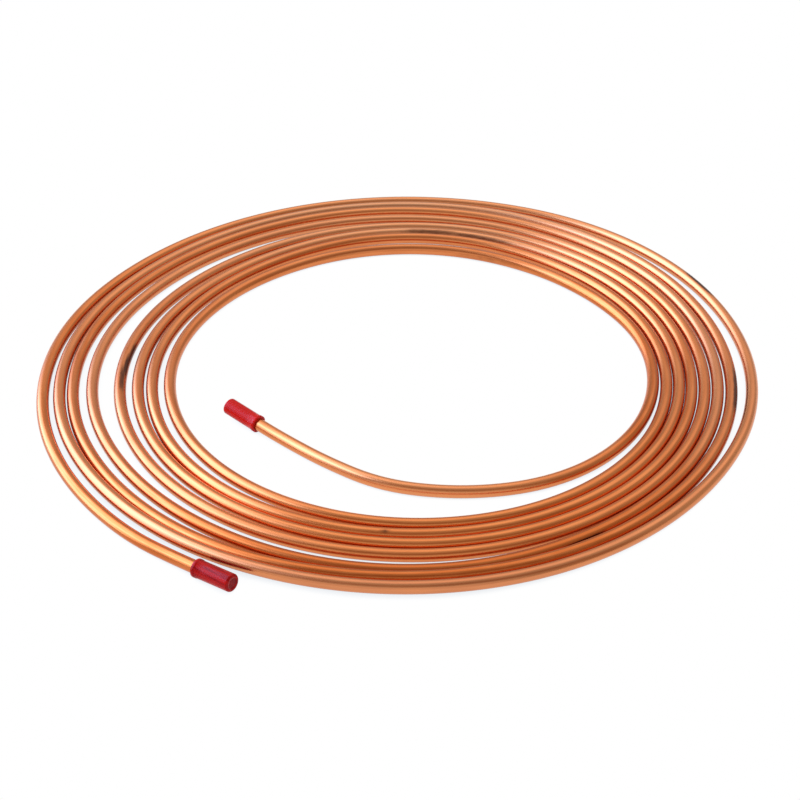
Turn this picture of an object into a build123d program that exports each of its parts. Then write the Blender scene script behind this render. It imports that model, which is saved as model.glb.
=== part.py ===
from build123d import *
import math
import os

# Soft copper tube wound into a flat open coil of eight turns, with a push-on plastic cap on each end.
# Millimetres, +Z up. The coil lies on the floor at Z = 0, and the middle of its outline is on the Z axis.

# Tube: 10 mm outside diameter, 0.8 mm wall
TUBE_DIAMETER = 10.0
TUBE_WALL = 0.8

# Caps, one on each end of the tube. A cap leans up a little from its mouth, which is on the floor.
CAP_WALL = 1.75
CAP_LENGTH = 34.0
CAP_FLOOR = 2.2
CAP_BEAD_WIDTH = 3.0
CAP_BEAD_HEIGHT = 0.35
CAP_END_ROUND = 1.6
CAP_DISH_DIAMETER = 8.4
CAP_DISH_DEPTH = 0.5
CAP_TILT_DEGREES = 5

# Route of the tube's centre line. The tube runs anticlockwise, seen from above, from the inner end out.
# Each row is one turn: its distance from the coil's middle at eight compass points 45 degrees apart,
# starting at +X. The last turn stops at the outer end.
STEP_DEGREES = 45
TURN_RADII = [
    [201.7, 194.8, 195.3, 195.3, 200.6, 206.9, 211.5, 214.3],
    [212.2, 210.6, 216.0, 210.5, 215.0, 222.2, 223.4, 224.6],
    [222.7, 223.6, 226.6, 221.5, 226.8, 232.5, 234.3, 234.8],
    [233.0, 235.8, 237.2, 235.9, 241.6, 246.2, 246.2, 245.1],
    [243.8, 247.7, 252.2, 257.5, 264.8, 262.9, 262.8, 255.7],
    [254.8, 262.1, 268.8, 272.9, 280.4, 278.1, 273.2, 266.1],
    [266.1, 273.4, 279.1, 283.2, 291.5, 288.2, 283.9, 276.9],
    [283.5, 290.5, 289.7, 295.0, 304.4, 303.6],
]

# Where a turn is sprung up off the floor: (turn, compass point) and its height. All else lies flat.
TURN_LIFTS = {(6, 6): 3.0, (7, 5): 2.4, (7, 6): 3.4}

# The inner end's lead leaves the first turn at the front, two compass points before +X, and crosses the
# coil's eye. Each point is (direction from the middle in degrees, distance).
LEAD_RADII = [169.1, 195.9]
LEAD_START = (235.8, 147.6)
INNER_MOUTH = (216.3, 150.8)
INNER_WAY_DEGREES = 139.6

# The outer end leaves the last turn's last compass point, on this heading, for its cap.
OUTER_START_WAY_DEGREES = -44.4
OUTER_MOUTH = (239.7, 303.4)
OUTER_WAY_DEGREES = -36


def compass(degrees):
    """Unit direction in plan."""
    return Vector(math.cos(math.radians(degrees)), math.sin(math.radians(degrees)))


def polar(point):
    """Point in plan from its direction and distance."""
    return compass(point[0]) * point[1]


def stations():
    """Distance from the middle and height at each compass point, from the lead's first one out."""
    values = [(radius, 0) for radius in LEAD_RADII]
    for turn, radii in enumerate(TURN_RADII, 1):
        values += [(radius, TURN_LIFTS.get((turn, point), 0)) for point, radius in enumerate(radii)]
    return values


def route():
    """Points and directions of the centre line at the compass points, from the lead's start out."""
    values = stations()
    first = 360 - STEP_DEGREES * len(LEAD_RADII)
    result = [(polar(LEAD_START), compass(INNER_WAY_DEGREES) * -1)]
    for i, (radius, lift) in enumerate(values):
        degrees = first + STEP_DEGREES * i
        low, high = max(i - 1, 0), min(i + 1, len(values) - 1)
        span = math.radians(STEP_DEGREES * (high - low))
        growth = (values[high][0] - values[low][0]) / span
        climb = (values[high][1] - values[low][1]) / span if lift else 0
        way = compass(degrees + 90) * radius + compass(degrees) * growth + Vector(0, 0, climb)
        result.append((compass(degrees) * radius + Vector(0, 0, lift), way.normalized()))
    result[-1] = (result[-1][0], compass(OUTER_START_WAY_DEGREES))
    return result


def biarc(start, start_way, end, end_way):
    """Two arcs that meet in one direction and leave both ends in the directions given."""
    chord = end - start
    ways = start_way + end_way
    lean = chord.dot(ways)
    spread = 2 * (1 - start_way.dot(end_way))
    reach = (math.sqrt(lean * lean + spread * chord.dot(chord)) - lean) / spread
    middle = (start + end + (start_way - end_way) * reach) * 0.5
    first = TangentArc(start, middle, tangent=start_way)
    return [first, TangentArc(middle, end, tangent=first % 1)]


def end_stretch(start, way, mouth, heading):
    """A stretch that climbs into a cap that leans up, and the straight run inside it to its floor."""
    tilt = math.radians(CAP_TILT_DEGREES)
    reach = TUBE_DIAMETER / 2 + CAP_WALL + CAP_BEAD_HEIGHT
    mouth = polar(mouth) + Vector(0, 0, reach * math.cos(tilt) - TUBE_DIAMETER / 2)
    up = compass(heading) * math.cos(tilt) + Vector(0, 0, math.sin(tilt))
    return biarc(start, way, mouth, up) + [Line(mouth, mouth + up * (CAP_LENGTH - CAP_FLOOR))]


def centre_line():
    """The whole centre line: the inner end's stretch, the turns, and the outer end's stretch."""
    nodes = route()
    turns = []
    for (start, start_way), (end, end_way) in zip(nodes, nodes[1:]):
        turns += biarc(start, start_way, end, end_way)
    inner = end_stretch(nodes[0][0], nodes[0][1] * -1, INNER_MOUTH, INNER_WAY_DEGREES)
    outer = end_stretch(*nodes[-1], OUTER_MOUTH, OUTER_WAY_DEGREES)
    return inner, turns, outer


def tube(path, start, way):
    """The tube: a ring section swept along the centre line."""
    section = Plane(origin=start, z_dir=way) * (
        Circle(TUBE_DIAMETER / 2) - Circle(TUBE_DIAMETER / 2 - TUBE_WALL))
    return sweep(section, path=path)


def cap():
    """A closed cap on the +Z side of the origin, with its mouth at Z = 0 and its bore open to it."""
    bore = TUBE_DIAMETER / 2
    outer = bore + CAP_WALL
    dish = CAP_DISH_DIAMETER / 2
    profile = Polyline(
        (0, CAP_LENGTH - CAP_FLOOR), (bore, CAP_LENGTH - CAP_FLOOR), (bore, 0),
        (outer + CAP_BEAD_HEIGHT, 0), (outer + CAP_BEAD_HEIGHT, CAP_BEAD_WIDTH), (outer, CAP_BEAD_WIDTH),
        (outer, CAP_LENGTH), (dish, CAP_LENGTH), (dish - CAP_DISH_DEPTH, CAP_LENGTH - CAP_DISH_DEPTH),
        (0, CAP_LENGTH - CAP_DISH_DEPTH), close=True)
    body = revolve(Plane.XZ * make_face(profile.edges()), axis=Axis.Z)
    rim = body.edges().filter_by(GeomType.CIRCLE).filter_by(lambda edge: abs(edge.radius - outer) < 0.01)
    return fillet(rim.sort_by(Axis.Z)[-1], CAP_END_ROUND)


def main():
    inner, turns, outer = centre_line()
    path = Wire(inner[::-1] + turns + outer)
    inner_mouth, outer_mouth = inner[2], outer[2]
    pieces = {
        "copper_tube": tube(path, inner_mouth @ 1, (inner_mouth % 1) * -1),
        "inner_end_cap": Plane(origin=inner_mouth @ 0, z_dir=inner_mouth % 0) * cap(),
        "outer_end_cap": Plane(origin=outer_mouth @ 0, z_dir=outer_mouth % 0) * cap(),
    }
    box = Compound(children=[Compound(piece.solids()) for piece in pieces.values()]).bounding_box()
    place = Pos(-box.center().X, -box.center().Y, -box.min.Z)
    print("tube length", round(path.length), "volume", round(pieces["copper_tube"].volume))
    print("middle", box.center() * -1, "floor", box.min.Z)
    for name, piece in pieces.items():
        export_step(place * piece, f"parts/{name}.step")


os.makedirs("parts", exist_ok=True)
main()
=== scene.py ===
"""Dresses the copper tube coil: the drawn copper tube, its two push-on caps, the studio and the camera."""
import math

import bpy
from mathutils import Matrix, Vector


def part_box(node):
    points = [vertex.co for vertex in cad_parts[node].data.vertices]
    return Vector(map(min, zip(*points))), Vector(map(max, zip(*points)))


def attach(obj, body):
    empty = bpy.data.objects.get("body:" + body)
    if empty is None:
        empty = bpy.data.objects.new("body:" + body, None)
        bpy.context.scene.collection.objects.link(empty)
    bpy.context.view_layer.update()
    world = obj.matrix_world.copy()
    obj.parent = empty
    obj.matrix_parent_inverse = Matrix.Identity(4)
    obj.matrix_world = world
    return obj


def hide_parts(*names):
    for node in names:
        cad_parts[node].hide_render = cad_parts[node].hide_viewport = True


MM = 0.001
UP = Vector((0, 0, 1))
WHITE = (1, 1, 1, 1)

# Tube and caps, as the real ones are sold. A cap leans up a little from its mouth, which is on the floor.
TUBE_DIAMETER = 10.0 * MM
TUBE_WALL = 0.8 * MM
CAP_WALL = 1.75 * MM
CAP_LENGTH = 34.0 * MM
CAP_FLOOR = 2.2 * MM
CAP_BEAD_WIDTH = 3.0 * MM
CAP_BEAD_HEIGHT = 0.35 * MM
CAP_END_ROUND = 1.6 * MM
CAP_DISH_DIAMETER = 8.4 * MM
CAP_DISH_DEPTH = 0.5 * MM
CAP_TILT_DEGREES = 5

# Route of the tube's centre line: one row a turn, its distance from the coil's middle at eight compass
# points 45 degrees apart, anticlockwise from +X. Millimetres.
STEP_DEGREES = 45
TURN_RADII = [
    [201.7, 194.8, 195.3, 195.3, 200.6, 206.9, 211.5, 214.3],
    [212.2, 210.6, 216.0, 210.5, 215.0, 222.2, 223.4, 224.6],
    [222.7, 223.6, 226.6, 221.5, 226.8, 232.5, 234.3, 234.8],
    [233.0, 235.8, 237.2, 235.9, 241.6, 246.2, 246.2, 245.1],
    [243.8, 247.7, 252.2, 257.5, 264.8, 262.9, 262.8, 255.7],
    [254.8, 262.1, 268.8, 272.9, 280.4, 278.1, 273.2, 266.1],
    [266.1, 273.4, 279.1, 283.2, 291.5, 288.2, 283.9, 276.9],
    [283.5, 290.5, 289.7, 295.0, 304.4, 303.6],
]
# Where a turn is sprung up off the floor: (turn, compass point) and its height in millimetres
TURN_LIFTS = {(6, 6): 3.0, (7, 5): 2.4, (7, 6): 3.4}
# The lead's distance at the two compass points before the first turn
LEAD_RADII = [169.1, 195.9]
# The lead's start and the caps' mouths, as (direction in degrees, distance in millimetres), and the
# directions of the caps and of the last turn's end
LEAD_START = (235.8, 147.6)
INNER_MOUTH = (216.3, 150.8)
INNER_WAY_DEGREES = 139.6
OUTER_START_WAY_DEGREES = -44.4
OUTER_MOUTH = (239.7, 303.4)
OUTER_WAY_DEGREES = -36

# Tube's mesh: how long a step along it is, how many sides it and its bore have, and how small a bend
# counts as straight
TUBE_STEP = 7 * MM
TUBE_SIDES = 44
BORE_STEP = 12 * MM
BORE_SIDES = 10
STRAIGHT = 1e-9
TUBE_UV = "along_and_around"

# Cap's mesh: its sides, the steps of its rounded end, how far its edges are softened, and the rings
# along its side, as parts of its length
CAP_SIDES = 64
CAP_ROUND_STEPS = 8
CAP_EDGE = 0.25 * MM
CAP_SIDE_RINGS = (0.9, 0.7, 0.5, 0.3)

# Camera: where it aims from the coil's middle, how far off it stands and how steeply it looks down
PHOTO_PIXELS = 800
FOCAL_PIXELS = 1600
SENSOR_MM = 36
CAMERA_AIM = (-9.5 * MM, -52.4 * MM)
CAMERA_DISTANCE = 1302.6 * MM
CAMERA_ELEVATION_DEGREES = 35

# Copper: fresh orange, pinker stretches, browner stretches that are partly painted shade, and the dark
# colour of stains and of painted shade in grooves
COPPER_ORANGE = (0.88, 0.30, 0.095, 1)
COPPER_PINK = (0.72, 0.33, 0.17, 1)
COPPER_BROWN = (0.60, 0.15, 0.036, 1)
COPPER_STAIN_AND_SHADE = (0.12, 0.038, 0.020, 1)

# Copper's textures: how fine each is along the tube, per metre, and round it, its detail and its roughness
LINES = (3.0, 3.5, 1.0, 0.5)
CLOUDS = (22.0, 1.1, 4.0, 0.6)
WAVES = (12.0, 0.7, 0.0, 0.5)
FLECKS = (160.0, 2.5, 2.0, 0.6)

# What a texture does on the copper. Four numbers are the texture's value where a change starts and where
# it ends, and what it goes from and to. A bump is its strength and its depth.
PINK_BY_CLOUDS = (0.25, 0.65, 0.55, 1.0)
LINES_IN_PATCHES = 0.35
BROWN_BY_PATCHES = (0.40, 0.95, 0.6, 1.2)
FLECKS_IN_STAINS_AND_SHADE = 0.4
STAIN_AND_SHADE_BY_FLECKS = (0.35, 1.15, 0.0, 1.0)
ROUGHNESS_BY_LINES = (0.3, 0.7, 0.18, 0.28)
ROUGHNESS_OF_PINK = 0.05
COPPER_BUMP = (0.2, 0.1 * MM)

# Caps: their red, the darker red of worn streaks and of painted shade, and the painted shade of each cap:
# the outer cap is painted darker all over as a shaded copy of the inner one, and the recessed dish is
# painted dark as shade
CAP_RED = (0.56, 0.008, 0.004, 1)
CAP_WEAR_AND_SHADE_RED = (0.25, 0.002, 0.003, 1)
CAP_PAINTED_SHADE = {"inner_end_cap": 0.0, "outer_end_cap": 0.6}
CAP_DISH_PAINTED_SHADE = 1.0
CAP_SPECULAR = 0.10
CAP_BUMP = (0.25, 0.15 * MM)

# Caps' streaks: their size, their direction, which is both caps' own within 3 degrees, their detail and
# roughness, and what they do, in the same four numbers as above
CAP_STREAK_SIZE = (30 * MM, 2.5 * MM, 2.5 * MM)
CAP_STREAK_DEGREES = 142
CAP_STREAK_NOISE = (3.0, 0.6)
DARKNESS_BY_STREAKS = (0.3, 0.65, 0.5, 1.1)
WEAR_BY_STREAKS = (0.5, 0.7, 0.0, 0.35)
ROUGHNESS_BY_STREAKS = (0.3, 0.7, 0.15, 0.24)

# How pink and how brown the copper is: a row a turn, on its right, back, left and front. The first row is
# the lead's, which has only a left, half a turn before the first turn, and a front. The brown is partly
# tarnish and partly painted shade, set mostly higher on the front and sides, where the copper looks darker
# for how the light falls.
WEAR_FIRST_DEGREES = -180
WEAR_STEP_DEGREES = 90
TURN_PINKNESS = [
    [0.1, 0.5],
    [0.3, 0.4, 0.6, 0.1],
    [0.4, 0.4, 0.6, 0.1],
    [0.5, 0.8, 0.7, 0.1],
    [0.4, 0.8, 0.9, 0.2],
    [0.5, 0.7, 0.9, 0.2],
    [1.0, 0.4, 0.6, 0.2],
    [0.7, 1.0, 0.7, 1.0],
    [0.6, 0.6, 0.2, 0.2],
]
TURN_BROWNNESS_AND_SHADE = [
    [0.7, 0.2],
    [1.2, 0.6, 0.8, 0.5],
    [0.8, 0.6, 0.7, 0.6],
    [0.7, 0.0, 0.7, 0.5],
    [0.8, 0.0, 0.8, 0.5],
    [0.7, 0.2, 0.6, 1.4],
    [0.5, 0.3, 0.9, 1.1],
    [0.7, 0.0, 0.6, 0.5],
    [0.5, 0.1, 0.8, 1.2],
]

# Dark patches, most of them stains and some painted shade in grooves: (turn, direction in degrees, part of
# a turn round the tube from its inner side, half length, half width as a part of a turn, strength). The
# fade is over
# 1, so that a patch's middle is full.
STAIN_AND_SHADE_FADE = 1.3
STAINS_AND_SHADE = [
    (4, 176, 0.06, 24 * MM, 0.10, 0.9),
    (4, 181, 0.12, 26 * MM, 0.09, 1.0),
    (4, 187, 0.19, 30 * MM, 0.09, 0.8),
    (6, 351, 0.42, 50 * MM, 0.16, 1.1),
    # A dark line along the outer top edge of the last turn at the back right
    (8, 26, 0.33, 32 * MM, 0.12, 1.3),
    (3, 84, 0.13, 44 * MM, 0.12, 0.65),
    (3, 73, 0.06, 54 * MM, 0.14, 0.7),
    # Painted shadow in the groove under the lifted stretch of turn 6: on turn 5's outer side and turn 6's
    # inner side
    (5, 297.6, 0.46, 28 * MM, 0.08, 1.2),
    (6, 297.6, 0.04, 28 * MM, 0.06, 1.1),
    # Painted shade on the inner side of the first turn at the back
    (1, 68, 0.00, 60 * MM, 0.10, 0.4),
    (2, 264.5, 0.32, 3.5 * MM, 0.07, 0.7),
]

# Floor: white where it is open, and shaded where the tubes close over it. The shares are how much of its
# white is kept there, as the camera sees it and as the copper mirrors it.
FLOOR_REACH = 6.0
FLOOR_COLOUR = (0.80, 0.83, 0.86, 1)
FLOOR_SHADE_REACH = 30 * MM
FLOOR_SHADE_SAMPLES = 8
FLOOR_OPEN = 0.50
FLOOR_CLOSED = (0.88, 0.93, 0.98, 1)
FLOOR_SEEN_SHARE = 0.85
FLOOR_MIRRORED_SHARE = 0.28

# Studio: the light all round, and panels with their own, by direction and height angle in degrees: at the
# back, high in front, low in front, at the right, and the bright key panel at the left
STUDIO_LIGHT = (0.54, 0.57, 0.56, 1)
STUDIO_PANELS = [
    {"azimuth": 95, "elevation": 58, "half_width": 40, "half_height": 22, "soft": 12,
     "light": (1.2, 1.2, 1.22, 1)},
    {"azimuth": 265, "elevation": 58, "half_width": 62, "half_height": 13, "soft": 9,
     "light": (0.36, 0.26, 0.20, 1)},
    {"azimuth": 262, "elevation": 8, "half_width": 38, "half_height": 22, "soft": 10,
     "light": (0.95, 0.95, 0.97, 1)},
    {"azimuth": 332, "elevation": 15, "half_width": 16, "half_height": 20, "soft": 12,
     "light": (0.42, 0.33, 0.26, 1)},
    {"azimuth": 161, "elevation": 26, "half_width": 31, "half_height": 32, "soft": 11,
     "light": (3.3, 4.5, 7.2, 1)},
]


def compass(degrees):
    """Unit direction in plan."""
    return Vector((math.cos(math.radians(degrees)), math.sin(math.radians(degrees)), 0))


def polar(point):
    """Point in plan, in metres, from its direction and its distance in millimetres."""
    return compass(point[0]) * point[1] * MM


def stations():
    """Distance from the middle and height at each compass point, from the lead's first one out."""
    values = [(radius, 0) for radius in LEAD_RADII]
    for turn, radii in enumerate(TURN_RADII, 1):
        values += [(radius, TURN_LIFTS.get((turn, point), 0)) for point, radius in enumerate(radii)]
    return values


def route():
    """Points and directions of the centre line at the compass points, from the lead's start out."""
    values = stations()
    first = 360 - STEP_DEGREES * len(LEAD_RADII)
    result = [(polar(LEAD_START), -compass(INNER_WAY_DEGREES))]
    for i, (radius, lift) in enumerate(values):
        degrees = first + STEP_DEGREES * i
        low, high = max(i - 1, 0), min(i + 1, len(values) - 1)
        span = math.radians(STEP_DEGREES * (high - low))
        growth = (values[high][0] - values[low][0]) / span
        climb = (values[high][1] - values[low][1]) / span if lift else 0
        way = compass(degrees + 90) * radius + compass(degrees) * growth + Vector((0, 0, climb))
        result.append((compass(degrees) * radius * MM + Vector((0, 0, lift * MM)), way.normalized()))
    result[-1] = (result[-1][0], compass(OUTER_START_WAY_DEGREES))
    return result


def arc_points(start, way, end, step):
    """Points along the arc that leaves start in a direction and ends at end, and its last direction."""
    chord = end - start
    turn_axis = way.cross(chord)
    if turn_axis.length < STRAIGHT:
        count = max(1, round(chord.length / step))
        return [start + chord * (i / count) for i in range(count)], way
    inward = turn_axis.cross(way).normalized()
    radius = chord.length_squared / (2 * chord.dot(inward))
    angle = 2 * math.atan2(chord.dot(inward), chord.dot(way))
    count = max(2, round(radius * angle / step))
    points = []
    for i in range(count):
        part = angle * i / count
        points.append(start + inward * radius * (1 - math.cos(part)) + way * radius * math.sin(part))
    return points, way * math.cos(angle) + inward * math.sin(angle)


def biarc_points(start, start_way, end, end_way, step):
    """Points along two arcs that meet in one direction and leave both ends in the directions given."""
    chord = end - start
    ways = start_way + end_way
    lean = chord.dot(ways)
    spread = 2 * (1 - start_way.dot(end_way))
    reach = (math.sqrt(lean * lean + spread * chord.length_squared) - lean) / spread
    middle = (start + end + (start_way - end_way) * reach) * 0.5
    first, way = arc_points(start, start_way, middle, step)
    second, way = arc_points(middle, way, end, step)
    return first + second


def cap_seat(mouth, heading):
    """Middle of a cap's mouth, with the cap's lip on the floor, and the way the cap points."""
    tilt = math.radians(CAP_TILT_DEGREES)
    reach = TUBE_DIAMETER / 2 + CAP_WALL + CAP_BEAD_HEIGHT
    point = polar(mouth) + Vector((0, 0, reach * math.cos(tilt) - TUBE_DIAMETER / 2))
    return point, compass(heading) * math.cos(tilt) + Vector((0, 0, math.sin(tilt)))


def cap_seats():
    """Each cap's seat, by the cap's node."""
    return {
        "inner_end_cap": cap_seat(INNER_MOUTH, INNER_WAY_DEGREES),
        "outer_end_cap": cap_seat(OUTER_MOUTH, OUTER_WAY_DEGREES),
    }


def end_points(start, way, seat, step):
    """Points along an end's climb into its cap and on to the cap's floor."""
    mouth, up = seat
    last = mouth + up * (CAP_LENGTH - CAP_FLOOR)
    count = max(2, round((last - mouth).length / step))
    inside = [mouth.lerp(last, i / count) for i in range(count + 1)]
    return biarc_points(start, way, mouth, up, step) + inside


def centre_line(step, middle):
    """Points along the tube from the inner end to the outer end, placed about the coil's middle."""
    nodes = route()
    seats = cap_seats()
    inner = end_points(nodes[0][0], -nodes[0][1], seats["inner_end_cap"], step)
    points = inner[:0:-1]
    for (start, start_way), (end, end_way) in zip(nodes, nodes[1:]):
        points += biarc_points(start, start_way, end, end_way, step)
    points += end_points(*nodes[-1], seats["outer_end_cap"], step)
    return [point + middle for point in points]


def coil_middle():
    """Where the coil's middle is in the frame: the tube's outline reaches the tube node's box."""
    low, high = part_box("copper_tube")
    points = centre_line(TUBE_STEP, Vector())
    reach = TUBE_DIAMETER / 2
    left = min(point.x for point in points) - reach
    back = max(point.y for point in points) + reach
    return Vector((low.x - left, high.y - back, low.z + reach))


def new_mesh_object(name, points, faces, smooth_count):
    """An object with these points and faces, of which the first smooth_count are shaded smooth."""
    mesh = bpy.data.meshes.new(name)
    mesh.from_pydata([tuple(point) for point in points], [], faces)
    mesh.polygons.foreach_set("use_smooth", [i < smooth_count for i in range(len(faces))])
    mesh.update()
    piece = bpy.data.objects.new(name, mesh)
    bpy.context.collection.objects.link(piece)
    return piece


def ring(middle, ahead, radius, sides):
    """Points round a circle, square to the way ahead. The first is level with its middle."""
    side = UP.cross(ahead).normalized()
    up = ahead.cross(side)
    angles = [2 * math.pi * k / sides for k in range(sides)]
    return [middle + (side * math.cos(angle) + up * math.sin(angle)) * radius for angle in angles]


def skin(line, radius, sides):
    """Rings of points round a line, each square to it."""
    points = []
    for i, point in enumerate(line):
        ahead = (line[min(i + 1, len(line) - 1)] - line[max(i - 1, 0)]).normalized()
        points += ring(point, ahead, radius, sides)
    return points


def ring_faces(rings, sides, first, outward):
    """Quads between neighbouring rings, from the point numbered first on, facing one way or the other."""
    faces = []
    for i in range(rings - 1):
        for k in range(sides):
            a = first + i * sides + k
            b = first + i * sides + (k + 1) % sides
            quad = (a, b, b + sides, a + sides)
            faces.append(quad if outward else quad[::-1])
    return faces


def end_faces(outer, sides, inner, bore_sides):
    """Triangles that close the flat ring between the tube's skin and its bore at a cut end."""
    faces = []
    i = k = 0
    while i < sides or k < bore_sides:
        if k >= bore_sides or (i < sides and (i + 1) / sides <= (k + 1) / bore_sides):
            faces.append((outer + i % sides, outer + (i + 1) % sides, inner + k % bore_sides))
            i += 1
        else:
            faces.append((outer + i % sides, inner + (k + 1) % bore_sides, inner + k % bore_sides))
            k += 1
    return faces


def make_tube(middle):
    """The tube as one closed mesh: its skin, its bore and the two cut ends."""
    line = centre_line(TUBE_STEP, middle)
    bore_line = centre_line(BORE_STEP, middle)
    bore_line[0], bore_line[-1] = line[0], line[-1]
    points = skin(line, TUBE_DIAMETER / 2, TUBE_SIDES)
    bore_first = len(points)
    points += skin(bore_line, TUBE_DIAMETER / 2 - TUBE_WALL, BORE_SIDES)
    faces = ring_faces(len(line), TUBE_SIDES, 0, False)
    faces += ring_faces(len(bore_line), BORE_SIDES, bore_first, True)
    smooth_count = len(faces)
    last_skin, last_bore = bore_first - TUBE_SIDES, len(points) - BORE_SIDES
    faces += end_faces(0, TUBE_SIDES, bore_first, BORE_SIDES)
    faces += [face[::-1] for face in end_faces(last_skin, TUBE_SIDES, last_bore, BORE_SIDES)]
    tube = new_mesh_object("drawn_tube", points, faces, smooth_count)
    add_tube_uv(tube, line)
    add_tube_wear(tube, line, middle)
    return tube


def add_tube_uv(tube, line):
    """UV of the skin: distance along the tube in metres, and the part of a turn around it."""
    along = [0.0]
    for before, after in zip(line, line[1:]):
        along.append(along[-1] + (after - before).length)
    layer = tube.data.uv_layers.new(name=TUBE_UV).data
    skin_points = len(line) * TUBE_SIDES
    for face in tube.data.polygons:
        sides = [tube.data.loops[i].vertex_index % TUBE_SIDES for i in face.loop_indices]
        wraps = max(sides) - min(sides) > 1
        for i in face.loop_indices:
            index = tube.data.loops[i].vertex_index
            if index < skin_points:
                side = index % TUBE_SIDES
                turn = (side + TUBE_SIDES if wraps and side == 0 else side) / TUBE_SIDES
                layer[i].uv = (along[index // TUBE_SIDES], turn)


def turned_angles(line, middle):
    """Angle turned about the coil's middle at each point, in degrees. The first turn starts at 0."""
    angles = [math.degrees(math.atan2(line[0].y - middle.y, line[0].x - middle.x))]
    for point in line[1:]:
        angle = math.degrees(math.atan2(point.y - middle.y, point.x - middle.x))
        angles.append(angles[-1] + (angle - angles[-1] + 180) % 360 - 180)
    last = 360 * (len(TURN_RADII) - 1) + OUTER_MOUTH[0]
    shift = 360 * round((last - angles[-1]) / 360)
    return [angle + shift for angle in angles]


def smooth_step(value):
    """Eased from 0 to 1 while the value goes from 0 to 1."""
    value = min(max(value, 0), 1)
    return value * value * (3 - 2 * value)


def on_turns(rows, angle):
    """Value of a table of wear at an angle turned, in degrees, eased from one side to the next."""
    values = [value for row in rows for value in row]
    place = (angle - WEAR_FIRST_DEGREES) / WEAR_STEP_DEGREES
    before = min(max(int(place), 0), len(values) - 2)
    part = smooth_step(place - before)
    return values[before] * (1 - part) + values[before + 1] * part


def add_tube_wear(tube, line, middle):
    """How pink, how brown and how dark each point of the skin is. Brown and dark are partly tarnish and
    stains, and partly painted shade.
    """
    angles = turned_angles(line, middle)
    for name, rows in (("pinkness", TURN_PINKNESS), ("brownness_and_shade", TURN_BROWNNESS_AND_SHADE)):
        layer = tube.data.attributes.new(name, "FLOAT", "POINT").data
        for i, angle in enumerate(angles):
            value = on_turns(rows, angle)
            for k in range(TUBE_SIDES):
                layer[i * TUBE_SIDES + k].value = value
    layer = tube.data.attributes.new("stain_and_shade", "FLOAT", "POINT").data
    for stain_and_shade in STAINS_AND_SHADE:
        add_stain_and_shade(layer, line, angles, *stain_and_shade)


def add_stain_and_shade(layer, line, angles, turn, direction, around, half_length, half_width, strength):
    """Adds a dark patch, stains and painted shade alike, that fades out along the tube and round it. Where
    patches meet, the stronger shows.
    """
    target = direction + 360 * (turn - 1)
    nearest = min(range(len(line)), key=lambda i: abs(angles[i] - target))
    for i, point in enumerate(line):
        along = (point - line[nearest]).length / half_length
        if along < 1 and abs(angles[i] - target) < STEP_DEGREES:
            for k in range(TUBE_SIDES):
                across = abs((k / TUBE_SIDES - around + 0.5) % 1 - 0.5) / half_width
                fade = smooth_step(STAIN_AND_SHADE_FADE - STAIN_AND_SHADE_FADE * along) * smooth_step(STAIN_AND_SHADE_FADE - across)
                spot = layer[i * TUBE_SIDES + k]
                spot.value = max(spot.value, strength * fade)


def cap_profile():
    """Outline of a cap from the middle of its closed end to the bottom of its bore: (radius, height)."""
    bore = TUBE_DIAMETER / 2
    bore_floor = CAP_LENGTH - CAP_FLOOR
    outer = bore + CAP_WALL
    lip = outer + CAP_BEAD_HEIGHT
    dish = CAP_DISH_DIAMETER / 2
    dish_floor = CAP_LENGTH - CAP_DISH_DEPTH
    profile = [(0, dish_floor), (dish - 2 * CAP_DISH_DEPTH, dish_floor),
               (dish - CAP_DISH_DEPTH, dish_floor), (dish, CAP_LENGTH)]
    for i in range(CAP_ROUND_STEPS + 1):
        around = math.radians(90 - 90 * i / CAP_ROUND_STEPS)
        profile.append((outer - CAP_END_ROUND + CAP_END_ROUND * math.cos(around),
                        CAP_LENGTH - CAP_END_ROUND + CAP_END_ROUND * math.sin(around)))
    profile += [(outer, CAP_LENGTH * part) for part in CAP_SIDE_RINGS]
    profile += [(outer, CAP_BEAD_WIDTH + CAP_EDGE), (outer + CAP_EDGE / 2, CAP_BEAD_WIDTH),
                (lip, CAP_BEAD_WIDTH - CAP_EDGE), (lip, CAP_EDGE), (lip - CAP_EDGE, 0)]
    profile += [(bore + CAP_EDGE, 0), (bore, CAP_EDGE), (bore, bore_floor), (0, bore_floor)]
    return profile


def turned_faces(profile, starts, sides):
    """Faces between the rings of a turned form. A ring with no radius is one point."""
    faces = []
    for i in range(len(profile) - 1):
        a, b = starts[i], starts[i + 1]
        for k in range(sides):
            n = (k + 1) % sides
            if not profile[i][0]:
                faces.append((a, b + k, b + n))
            elif not profile[i + 1][0]:
                faces.append((a + k, b, a + n))
            else:
                faces.append((a + k, b + k, b + n, a + n))
    return faces


def make_cap(name, seat, middle, painted_shade):
    """A moulded cap, turned about its axis, on its seat, and the painted shade at each point of it: the
    cap's own amount, and full in the recessed dish.
    """
    mouth, axis = seat
    profile = cap_profile()
    points, starts, dark = [], [], []
    for radius, height in profile:
        sides = CAP_SIDES if radius else 1
        # The recessed dish at the closed end gets full painted shade
        in_dish = radius < CAP_DISH_DIAMETER / 2 and height > CAP_LENGTH - CAP_FLOOR
        starts.append(len(points))
        points += ring(middle + mouth + axis * height, axis, radius, sides)
        dark += [CAP_DISH_PAINTED_SHADE if in_dish else painted_shade] * sides
    faces = turned_faces(profile, starts, CAP_SIDES)
    cap = new_mesh_object(name, points, faces, len(faces))
    cap.data.attributes.new("painted_shade", "FLOAT", "POINT").data.foreach_set("value", dark)
    return cap


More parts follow.
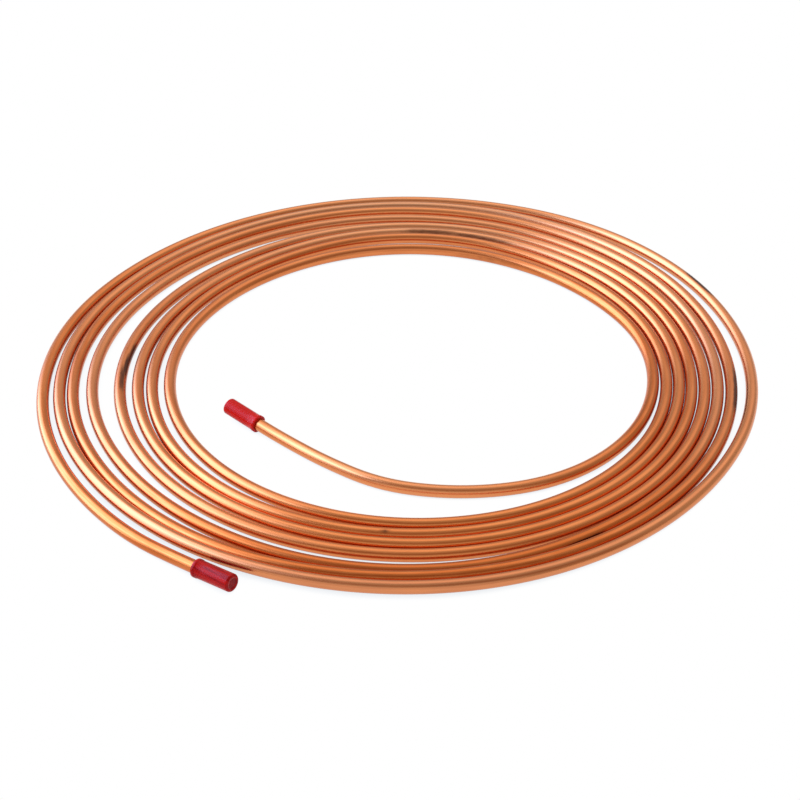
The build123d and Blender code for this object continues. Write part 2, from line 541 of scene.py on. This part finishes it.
class Graph:
    """Short calls that add nodes to a tree and join them. An input is a number, a tuple or a socket."""

    def __init__(self, tree):
        self.tree = tree

    def feed(self, socket, value):
        """Joins a socket to an input, or sets the input to a value."""
        if isinstance(value, bpy.types.NodeSocket):
            self.tree.links.new(value, socket)
        else:
            socket.default_value = value

    def fill(self, node, values):
        """Feeds a node's inputs by name."""
        for name, value in values.items():
            self.feed(node.inputs[name], value)
        return node

    def node(self, kind, *values, **settings):
        """A new node with its settings, and its first inputs fed in order."""
        made = self.tree.nodes.new(kind)
        for key, value in settings.items():
            setattr(made, key, value)
        for socket, value in zip(made.inputs, values):
            self.feed(socket, value)
        return made

    def math(self, operation, *values):
        return self.node("ShaderNodeMath", *values, operation=operation).outputs[0]

    def dot(self, a, b):
        return self.node("ShaderNodeVectorMath", a, b, operation="DOT_PRODUCT").outputs["Value"]

    def smooth(self, value, low, high, to_low=0.0, to_high=1.0):
        """Eased from to_low to to_high while the value goes from low to high."""
        made = self.node("ShaderNodeMapRange", interpolation_type="SMOOTHSTEP")
        self.fill(made, {"Value": value, "From Min": low, "From Max": high})
        return self.fill(made, {"To Min": to_low, "To Max": to_high}).outputs["Result"]

    def noise(self, vector, detail, roughness):
        made = self.node("ShaderNodeTexNoise")
        self.fill(made, {"Vector": vector, "Scale": 1.0, "Detail": detail, "Roughness": roughness})
        return made.outputs["Fac"]

    def blend(self, factor, a, b):
        """From colour a to colour b. A Mix node's factor is input 0, and its colours are 6 and 7."""
        made = self.node("ShaderNodeMix", data_type="RGBA")
        for place, value in ((0, factor), (6, a), (7, b)):
            self.feed(made.inputs[place], value)
        return made.outputs[2]

    def bump(self, height, strength, depth):
        made = self.node("ShaderNodeBump")
        self.fill(made, {"Height": height, "Strength": strength, "Distance": depth})
        return made.outputs["Normal"]

    def attribute(self, name):
        return self.node("ShaderNodeAttribute", attribute_name=name).outputs["Fac"]


def principled(name):
    """A new material, its graph and its shader."""
    material = bpy.data.materials.new(name)
    material.use_nodes = True
    return material, Graph(material.node_tree), material.node_tree.nodes["Principled BSDF"]


def tube_noise(graph, along_scale, around_scale, detail, roughness):
    """Noise without a seam on the tube: its space is the distance along it, and a circle round it."""
    uv = graph.node("ShaderNodeUVMap", uv_map=TUBE_UV).outputs["UV"]
    parts = graph.node("ShaderNodeSeparateXYZ", uv).outputs
    around = graph.math("MULTIPLY", parts["Y"], 2 * math.pi)
    space = graph.node("ShaderNodeCombineXYZ",
                       graph.math("MULTIPLY", parts["X"], along_scale),
                       graph.math("MULTIPLY", graph.math("COSINE", around), around_scale),
                       graph.math("MULTIPLY", graph.math("SINE", around), around_scale))
    return graph.noise(space.outputs["Vector"], detail, roughness)


def copper_material():
    """Half-bright drawn copper: lines along the tube, pinker stretches, browner stretches that are partly
    painted shade, and dark patches, of which most are stains and some are painted shade in grooves.
    """
    material, graph, shader = principled("drawn_copper")
    lines = tube_noise(graph, *LINES)
    clouds = tube_noise(graph, *CLOUDS)
    waves = tube_noise(graph, *WAVES)
    flecks = tube_noise(graph, *FLECKS)
    pinkness = graph.attribute("pinkness")
    pink = graph.math("MULTIPLY", pinkness, graph.smooth(clouds, *PINK_BY_CLOUDS))
    colour = graph.blend(pink, COPPER_ORANGE, COPPER_PINK)
    patches = graph.math("ADD", clouds, graph.math("MULTIPLY", lines, LINES_IN_PATCHES))
    # Brown: tarnish in patches, and painted shade, set mostly higher on the front and sides of the coil
    # than at the back
    brown = graph.math("MULTIPLY", graph.attribute("brownness_and_shade"), graph.smooth(patches, *BROWN_BY_PATCHES))
    colour = graph.blend(brown, colour, COPPER_BROWN)
    # Dark patches: stains, and painted shade in grooves, broken up by flecks
    flecked = graph.math("ADD", graph.attribute("stain_and_shade"), graph.math("MULTIPLY", flecks, FLECKS_IN_STAINS_AND_SHADE))
    colour = graph.blend(graph.smooth(flecked, *STAIN_AND_SHADE_BY_FLECKS), colour, COPPER_STAIN_AND_SHADE)
    rough = graph.math("ADD", graph.smooth(lines, *ROUGHNESS_BY_LINES),
                       graph.math("MULTIPLY", pinkness, ROUGHNESS_OF_PINK))
    graph.fill(shader, {"Base Color": colour, "Roughness": rough, "Metallic": 1})
    graph.fill(shader, {"Normal": graph.bump(waves, *COPPER_BUMP)})
    return material


def cap_material():
    """Glossy red plastic, with darker streaks along the cap, of wear and of the cap's painted shade, and
    slight ripples.
    """
    material, graph, shader = principled("moulded_red_plastic")
    place = graph.node("ShaderNodeTexCoord").outputs["Object"]
    turned = (0, 0, math.radians(CAP_STREAK_DEGREES))
    along = graph.node("ShaderNodeMapping", vector_type="TEXTURE")
    graph.fill(along, {"Vector": place, "Rotation": turned, "Scale": CAP_STREAK_SIZE})
    streaks = graph.noise(along.outputs["Vector"], *CAP_STREAK_NOISE)
    # Painted shade: each cap's own amount and the dish's, streaked along the cap
    streaked_shade = graph.math("MULTIPLY", graph.attribute("painted_shade"), graph.smooth(streaks, *DARKNESS_BY_STREAKS))
    dark = graph.math("ADD", streaked_shade, graph.smooth(streaks, *WEAR_BY_STREAKS))
    graph.fill(shader, {"Base Color": graph.blend(dark, CAP_RED, CAP_WEAR_AND_SHADE_RED)})
    graph.fill(shader, {"Roughness": graph.smooth(streaks, *ROUGHNESS_BY_STREAKS)})
    graph.fill(shader, {"Specular IOR Level": CAP_SPECULAR, "Normal": graph.bump(streaks, *CAP_BUMP)})
    return material


def dress(middle):
    """Makes the pieces and puts each in its node's place."""
    tube = make_tube(middle)
    tube.data.materials.append(copper_material())
    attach(tube, "root")
    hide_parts("copper_tube")
    plastic = cap_material()
    for node, seat in cap_seats().items():
        cap = make_cap("moulded_" + node, seat, middle, CAP_PAINTED_SHADE[node])
        cap.data.materials.append(plastic)
        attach(cap, "root")
        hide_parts(node)


def floor_material():
    """White to the camera and in the copper's mirror images, and less so where the tubes close over it."""
    material, graph, shader = principled("white_floor")
    graph.fill(shader, {"Base Color": FLOOR_COLOUR, "Roughness": 1, "Specular IOR Level": 0})
    shade = graph.node("ShaderNodeAmbientOcclusion", samples=FLOOR_SHADE_SAMPLES)
    graph.fill(shade, {"Distance": FLOOR_SHADE_REACH})
    openness = shade.outputs["AO"]
    colour = graph.blend(graph.smooth(openness, 0.0, FLOOR_OPEN), FLOOR_CLOSED, WHITE)
    glow = graph.node("ShaderNodeEmission", colour, 1.0)
    path = graph.node("ShaderNodeLightPath").outputs
    shares = []
    for ray, closed in (("Is Camera Ray", FLOOR_SEEN_SHARE), ("Is Glossy Ray", FLOOR_MIRRORED_SHARE)):
        share = graph.smooth(openness, 0.0, FLOOR_OPEN, closed, 1.0)
        shares.append(graph.math("MULTIPLY", path[ray], share))
    share = graph.math("MAXIMUM", *shares)
    mixed = graph.node("ShaderNodeMixShader", share, shader.outputs[0], glow.outputs[0])
    graph.feed(graph.tree.nodes["Material Output"].inputs["Surface"], mixed.outputs[0])
    return material


def make_floor():
    """A large white floor, at the height that the coil lies on. It keeps a share of the coil's shadow."""
    low, high = -FLOOR_REACH, FLOOR_REACH
    corners = [(low, low, 0), (high, low, 0), (high, high, 0), (low, high, 0)]
    floor = new_mesh_object("floor", corners, [(0, 1, 2, 3)], 0)
    floor.data.materials.append(floor_material())


def panel_mask(graph, way, panel):
    """How much a direction is on a panel of the studio: 1 on it, 0 off it, soft at its edges."""
    height = math.radians(panel["elevation"])
    centre = compass(panel["azimuth"]) * math.cos(height) + UP * math.sin(height)
    right = UP.cross(centre).normalized()
    up = centre.cross(right)
    ahead, side, over = (graph.dot(way, tuple(axis)) for axis in (centre, right, up))
    across = graph.math("ABSOLUTE", graph.math("ARCTAN2", side, ahead))
    rise = graph.math("ABSOLUTE", graph.math("ARCSINE", over))
    soft = math.radians(panel["soft"])
    masks = []
    for angle, half_degrees in ((across, panel["half_width"]), (rise, panel["half_height"])):
        half = math.radians(half_degrees)
        masks.append(graph.smooth(angle, half - soft, half + soft, 1.0, 0.0))
    return graph.math("MULTIPLY", *masks)


def make_studio():
    """The studio round the coil: a pale room with its panels, seen in the copper, and white behind."""
    world = bpy.data.worlds.new("studio")
    bpy.context.scene.world = world
    world.use_nodes = True
    graph = Graph(world.node_tree)
    way = graph.node("ShaderNodeTexCoord").outputs["Generated"]
    light = STUDIO_LIGHT
    for panel in STUDIO_PANELS:
        light = graph.blend(panel_mask(graph, way, panel), light, panel["light"])
    path = graph.node("ShaderNodeLightPath").outputs
    seen = graph.blend(path["Is Camera Ray"], light, WHITE)
    graph.fill(world.node_tree.nodes["Background"], {"Color": seen, "Strength": 1})


def make_camera(middle):
    """The photograph's view: aimed at a point on the coil's near side, looking down."""
    camera = bpy.data.objects.new("camera", bpy.data.cameras.new("camera"))
    camera.data.sensor_width = SENSOR_MM
    camera.data.lens = FOCAL_PIXELS / PHOTO_PIXELS * SENSOR_MM
    elevation = math.radians(CAMERA_ELEVATION_DEGREES)
    aim = middle + Vector((*CAMERA_AIM, 0))
    back = Vector((0, -math.cos(elevation), math.sin(elevation)))
    camera.location = aim + back * CAMERA_DISTANCE
    camera.rotation_euler = (math.radians(90) - elevation, 0, 0)
    bpy.context.collection.objects.link(camera)
    bpy.context.scene.camera = camera


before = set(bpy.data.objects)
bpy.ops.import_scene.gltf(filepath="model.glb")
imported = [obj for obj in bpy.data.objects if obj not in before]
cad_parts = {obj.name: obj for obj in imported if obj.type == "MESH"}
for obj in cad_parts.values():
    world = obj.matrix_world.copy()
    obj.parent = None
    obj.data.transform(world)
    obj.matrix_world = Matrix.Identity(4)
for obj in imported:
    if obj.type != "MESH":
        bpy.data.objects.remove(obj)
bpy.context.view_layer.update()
bpy.context.scene.view_settings.view_transform = "Standard"
coil = coil_middle()
dress(coil)
make_floor()
make_studio()
make_camera(coil)
